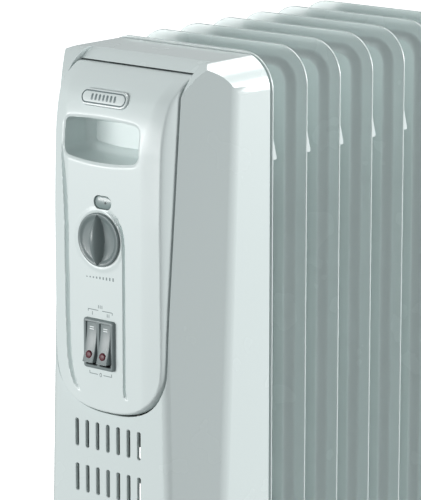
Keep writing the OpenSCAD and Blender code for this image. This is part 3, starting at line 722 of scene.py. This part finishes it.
def badgePlate():
    bm = bmesh.new()
    body = [(0, 1.0), (0, -0.9), (0.25, -1.35), (0.8, -1.55), (1.15, -1.55)]
    ring = [(1.15, -1.55), (1.3, -1.2), (2.0, -1.2), (2.15, -1.55)]
    plate = [(2.15, -1.55), (2.6, -1.62), (3.8, -1.75), (5.2, -1.8)]
    place = badgeFrame()

    def pill(inset, y):
        outline = roundedLoop(badge["width"] - 2 * inset, badge["height"] - 2 * inset,
                              badge["corner"] - inset, y, 0, 0, 10)
        return [place @ point for point in outline]

    loft(bm, [pill(*row) for row in body], True, False)
    loft(bm, [pill(*row) for row in ring], False, False, 1)
    loft(bm, [pill(*row) for row in plate], False, True)
    fit(makeObject("badgePlate", bm, [finishes["badge"], printedGrey]), "radiator", "badge", "badge_plate")
    bm = bmesh.new()  # a row of upright bars, like a heater's fins
    loft(bm, [roundedLoop(badge["barWidth"] - inset, badge["barHeight"] - inset, 0.8, y, 0, 0, 4)
              for y, inset in ((0.2, 0), (-0.1, 0), (-0.2, 0.3))])
    bars = makeObject("badgeBars", bm, [printedGrey])
    repeat(bars, badge["bars"], spot(-(badge["bars"] - 1) / 2 * badge["barStep"], -1.75, 0),
           spot(badge["barStep"], 0, 0), printedGrey)
    settle(bars)
    bars.data.transform(place)
    fit(bars, "radiator", "badge")


def pilotWindow():
    bm = bmesh.new()
    rows = [(0, 3.0), (0, 1.0), (0.3, 0.55), (1.0, 0.3), (2.2, 0.12), (3.6, 0.02)]
    face = front(fascia["depth"])
    loft(bm, [roundedLoop(pilot["width"] - 2 * inset, pilot["height"] - 2 * inset, pilot["corner"] - inset,
                          face + y, fascia["pilotX"], fascia["pilotZ"], 10) for inset, y in rows])
    fit(makeObject("pilotWindow", bm, [finishes["pilot_window"]]), "radiator", "pilot_window", "pilot_window")
    bm = bmesh.new()
    loft(bm, [ringLoop(radius, face + y, fascia["pilotX"] + pilot["dotX"], fascia["pilotZ"], 20)
              for radius, y in ((pilot["dot"], 0.3), (pilot["dot"], -0.04), (pilot["dot"] - 0.3, -0.1))])
    fit(makeObject("pilotDot", bm, [shadowGrey]), "radiator", "pilot_window")


def mark(bm, outline):  # a printed shape laid on the fascia, points (x, z)
    loops = []
    for lift in (-0.12, 0.05):
        x = np.array([point[0] for point in outline])
        z = np.array([point[1] for point in outline])
        depth = fasciaDepth(x, z) + lift
        loops.append([spot(a, front(d), b) for a, d, b in zip(x, depth, z)])
    loft(bm, loops)


def stroke(bm, x0, z0, x1, z1, width=0.5):
    length = math.hypot(x1 - x0, z1 - z0)
    parts = max(1, round(length / 3))
    dx, dz = (x1 - x0) / length, (z1 - z0) / length
    side = (-dz * width / 2, dx * width / 2)
    for k in range(parts):
        a, b = k / parts, (k + 1) / parts
        ax, az, bx, bz = x0 + (x1 - x0) * a, z0 + (z1 - z0) * a, x0 + (x1 - x0) * b, z0 + (z1 - z0) * b
        mark(bm, [(ax + side[0], az + side[1]), (bx + side[0], bz + side[1]), (bx - side[0], bz - side[1]),
                  (ax - side[0], az - side[1])])


def printedMarks():
    bm = bmesh.new()
    z = fascia["knobZ"] - 27.5
    for k in range(9):  # a warmth scale that grows
        x = -12 + k * 3
        tall = 0.7 + 0.22 * k
        mark(bm, [(x - 0.55, z), (x + 0.55, z), (x + 0.55, z + tall), (x - 0.55, z + tall)])
    top, low = fascia["switchZ"] + 20.2, fascia["switchZ"] - 20.4
    for side in (-1, 1):
        stroke(bm, side * 1.8, top + 3.2, side * 11, top + 3.2)
        stroke(bm, side * 11, top + 3.2, side * 11, top + 1.6)
        stroke(bm, side * 2.6, low - 1.4, side * 10, low - 1.4)
        stroke(bm, side * 10, low - 1.4, side * 10, low + 0.6)
    stroke(bm, -7.2, top - 0.6, -7.2, top + 1.8)
    for x in (6.4, 8.0):
        stroke(bm, x, top - 0.6, x, top + 1.8)
    for x in (-1.6, 0, 1.6):
        stroke(bm, x, top + 4.6, x, top + 7.0)
    for k in range(12):  # a nought
        a, b = 2 * math.pi * k / 12, 2 * math.pi * (k + 1) / 12
        stroke(bm, 0.85 * math.cos(a), low - 1.4 + 1.3 * math.sin(a), 0.85 * math.cos(b),
               low - 1.4 + 1.3 * math.sin(b), 0.42)
    fit(makeObject("printedMarks", bm, [printedGrey]), "radiator", "fascia_plastic")


badgePlate()
pilotWindow()
printedMarks()
print("heater: badge, window and marks placed")

# Thermostat knob
knob = {"radius": 18.6, "foot": 0.4, "dish": 0.9, "crest": 8.6, "gripHalf": 5.4, "gripLong": 17.2,
        "around": 144}


def knobHeight(x, z):  # a dished disc with a ridge down its middle
    r = math.hypot(x, z)
    rim = min(max((r - 14.0) / 3.2, 0), 1)
    dish = knob["dish"] + knob["dish"] * swell(rim) - 0.5 * math.exp(-((r - 10) / 5) ** 2)
    dish -= 1.2 * max(0.0, r - (knob["radius"] - 0.8)) ** 2
    share = 1 - (z / knob["gripLong"]) ** 2
    if share <= 0:
        return dish
    across = abs(x) / (knob["gripHalf"] * share ** 0.85 + 0.05)
    crest = 0.8 + (knob["crest"] - 0.8) * max(0.0, 1 - (z / 19.2) ** 2) ** 0.75
    return max(dish, dish + (crest - dish) * (1 - min(across, 1) ** 2.4))


def turningKnob():
    bm = bmesh.new()
    around, middle, base = knob["around"], fascia["knobZ"], fascia["depth"] + knob["foot"]
    rings = [0.35 * k for k in range(1, 50)]
    rings += [knob["radius"] - inset for inset in (1.2, 0.9, 0.6, 0.4, 0.2, 0.08, 0)]
    centre = bm.verts.new(spot(0, front(base + knobHeight(0, 0)), middle))
    last = None
    for radius in rings:
        loop = []
        for k in range(around):
            angle = 2 * math.pi * k / around
            x, z = radius * math.cos(angle), radius * math.sin(angle)
            loop.append(bm.verts.new(spot(x, front(base + knobHeight(x, z)), middle + z)))
        if last is None:
            for k in range(around):
                bm.faces.new((centre, loop[k], loop[(k + 1) % around]))
        else:
            bridge(bm, last, loop)
        last = loop
    for lift, inset in ((0.3, 0.0), (0.0, 0.3)):
        foot = ringLoop(knob["radius"] - inset, front(base + lift), 0, middle, around)
        loop = [bm.verts.new(point) for point in foot]
        bridge(bm, last, loop)
        last = loop
    bm.faces.new(last)
    made = makeObject("turningKnob", bm, [finishes["knob_plastic"]], 50)
    fit(made, "thermostat_knob", "knob_plastic", "thermostat_knob")


turningKnob()
print("heater: knob turned")

# Double switch
switch = {"x": 6.2, "width": 9.4, "length": 28.0, "pivot": 87.5, "tilt": 7.0, "bezel": 2.5,
          "plateWidth": 27.5, "plateHeight": 35.0, "mouthWidth": 10.0, "mouthHeight": 30.0, "lensZ": -8.3}


def switchBezel():
    bm = bmesh.new()
    z, face, lip = fascia["switchZ"], fascia["depth"], switch["bezel"]
    rows = [(0.0, 0.0), (0.0, 1.5), (0.35, 2.1), (1.0, 2.45), (1.2, lip)]
    shape = [roundedLoop(switch["plateWidth"] - 2 * inset, switch["plateHeight"] - 2 * inset, 2 - inset * 0.4,
                         front(face + lift), 0, z) for inset, lift in rows]
    rings = loft(bm, shape, False, False)
    mouths = []
    for side in (-1, 1):
        walls = [roundedLoop(switch["mouthWidth"] + 2 * grow, switch["mouthHeight"] + 2 * grow, 0.6,
                             front(face + lift), side * switch["x"], z, 4)
                 for grow, lift in ((0.3, lip), (0.0, lip - 0.35), (0.0, 0.0))]
        mouths.append(loft(bm, walls, False, False))
    fillAround(bm, [rings[-1]] + [mouth[0] for mouth in mouths])
    fillAround(bm, [rings[0]] + [mouth[-1] for mouth in mouths])
    made = makeObject("switchBezel", bm, [finishes["switch_plastic"]])
    fit(made, "radiator", "switch_plastic", "switch_bezel")


def keyFace(t):  # from the raised lower end, at 0, to the upper one, at 1
    return -5.7 - 3.0 * (1 - t) ** 2.1 - 1.2 * t ** 2.4


def rockerKey(side, label):
    place = (Matrix.Translation(spot(side * switch["x"], front(switch["pivot"]), fascia["switchZ"]))
             @ Matrix.Rotation(math.radians(-switch["tilt"]), 4, "X"))
    body, length = "rocker_" + label.lower(), switch["length"]
    half = length / 2
    face = [(keyFace(k / 16), -half + 0.4 + k / 16 * (length - 0.4)) for k in range(17)]
    back = [(-2.2, half - 0.9), (1.6, 8), (4.4, 3), (4.4, -3), (1.6, -8), (-2.2, 0.9 - half)]
    bm = bmesh.new()
    loops = []
    for share, inset in ((-1.0, 0.35), (-0.93, 0.1), (-0.85, 0.0), (0.85, 0.0), (0.93, 0.1), (1.0, 0.35)):
        x = share * switch["width"] / 2
        loop = [(y + inset, z * (1 - inset / half)) for y, z in face] + [(y - inset, z) for y, z in back]
        loops.append([place @ spot(x, y, z) for y, z in loop])
    loft(bm, loops)
    fit(makeObject("rockerKey" + label, bm, [finishes["switch_plastic"]]), body, "switch_plastic", body)
    bm = bmesh.new()  # two white ticks
    tick = ((-1.9, -0.3), (1.9, -0.3), (1.9, 0.3), (-1.9, 0.3))
    for z in (9.4, 10.9):
        loft(bm, [[place @ spot(x, keyFace((z + dz + half) / length) + lift, z + dz) for x, dz in tick]
                  for lift in (0.2, -0.06)])
    fit(makeObject("rockerTicks" + label, bm, [printedWhite]), body, "switch_plastic")
    bm = bmesh.new()
    dome = [(2.9, -3.7), (2.9, -7.5), (2.8, -7.8), (2.45, -8.1), (1.8, -8.3), (0.95, -8.43), (0.3, -8.46)]
    loft(bm, [[place @ point for point in ringLoop(radius, y, 0, switch["lensZ"], 32)] for radius, y in dome])
    lens = makeObject("rockerLens" + label, bm, [finishes["red_lens"]])
    fit(lens, body, "red_lens", "lens_" + label.lower())


switchBezel()
rockerKey(-1, "Left")
rockerKey(1, "Right")
print("heater: switch keys set")

# Floor, light and camera
studio = {"floorSize": 60.0, "floorGlow": 0.9, "sky": 0.3, "lens": 230.8, "sensor": 36.0,
          "eye": (1.4259, -1.73305, 0.9852), "down": 12.66, "turn": 40.19}
# Each light: its power in watts, then its width, height and place in metres
lights = {"keyLight": (128.0, 3.4, 1.1, (-1.7, -3.7, 0.6)), "sideLight": (215.0, 2.0, 2.0, (3.2, 2.9, 1.3)),
          "topLight": (60.0, 2.0, 2.0, (0.0, 1.7, 3.0))}


def areaLight(name, power, width, height, place):
    light = bpy.data.lights.new(name, "AREA")
    light.shape = "RECTANGLE"
    light.energy, light.size, light.size_y = power, width, height
    made = bpy.data.objects.new(name, light)
    made.location = place
    made.rotation_euler = (Vector((0, 0, 0.4)) - Vector(place)).to_track_quat("-Z", "Y").to_euler()
    bpy.context.collection.objects.link(made)


def paleFloor():  # a cut out ground: it is seen, and doesn't light the heater
    bm = bmesh.new()
    half = studio["floorSize"] / 2
    bm.faces.new([bm.verts.new((x * half, y * half, 0)) for x, y in ((-1, -1), (1, -1), (1, 1), (-1, 1))])
    surface = finishSurface("paleFloor", {**moulded, "dark": (0.9, 0.9, 0.9), "light": (0.94, 0.94, 0.94),
                                          "rough": 0.8, "coat": 0.0, "cloud": 0.5, "grain": 8.0})
    floor = makeObject("floor", bm, [surface])
    glow = surface.node_tree.nodes["Principled BSDF"].inputs
    glow["Emission Color"].default_value = (1, 1, 1, 1)
    glow["Emission Strength"].default_value = studio["floorGlow"]
    floor.visible_diffuse = floor.visible_glossy = False


def studioSetting():
    paleFloor()
    world = bpy.data.worlds.new("studio")
    world.use_nodes = True
    sky = world.node_tree.nodes["Background"].inputs
    sky["Color"].default_value = (0.95, 0.98, 1.0, 1)
    sky["Strength"].default_value = studio["sky"]
    bpy.context.scene.world = world
    bpy.context.scene.view_settings.view_transform = "Standard"
    for name, light in lights.items():
        areaLight(name, *light)
    camera = bpy.data.cameras.new("camera")
    camera.lens, camera.sensor_width = studio["lens"], studio["sensor"]
    eye = bpy.data.objects.new("camera", camera)
    eye.location = studio["eye"]
    eye.rotation_euler = (math.radians(90 - studio["down"]), 0, math.radians(studio["turn"]))
    bpy.context.collection.objects.link(eye)
    bpy.context.scene.camera = eye


studioSetting()
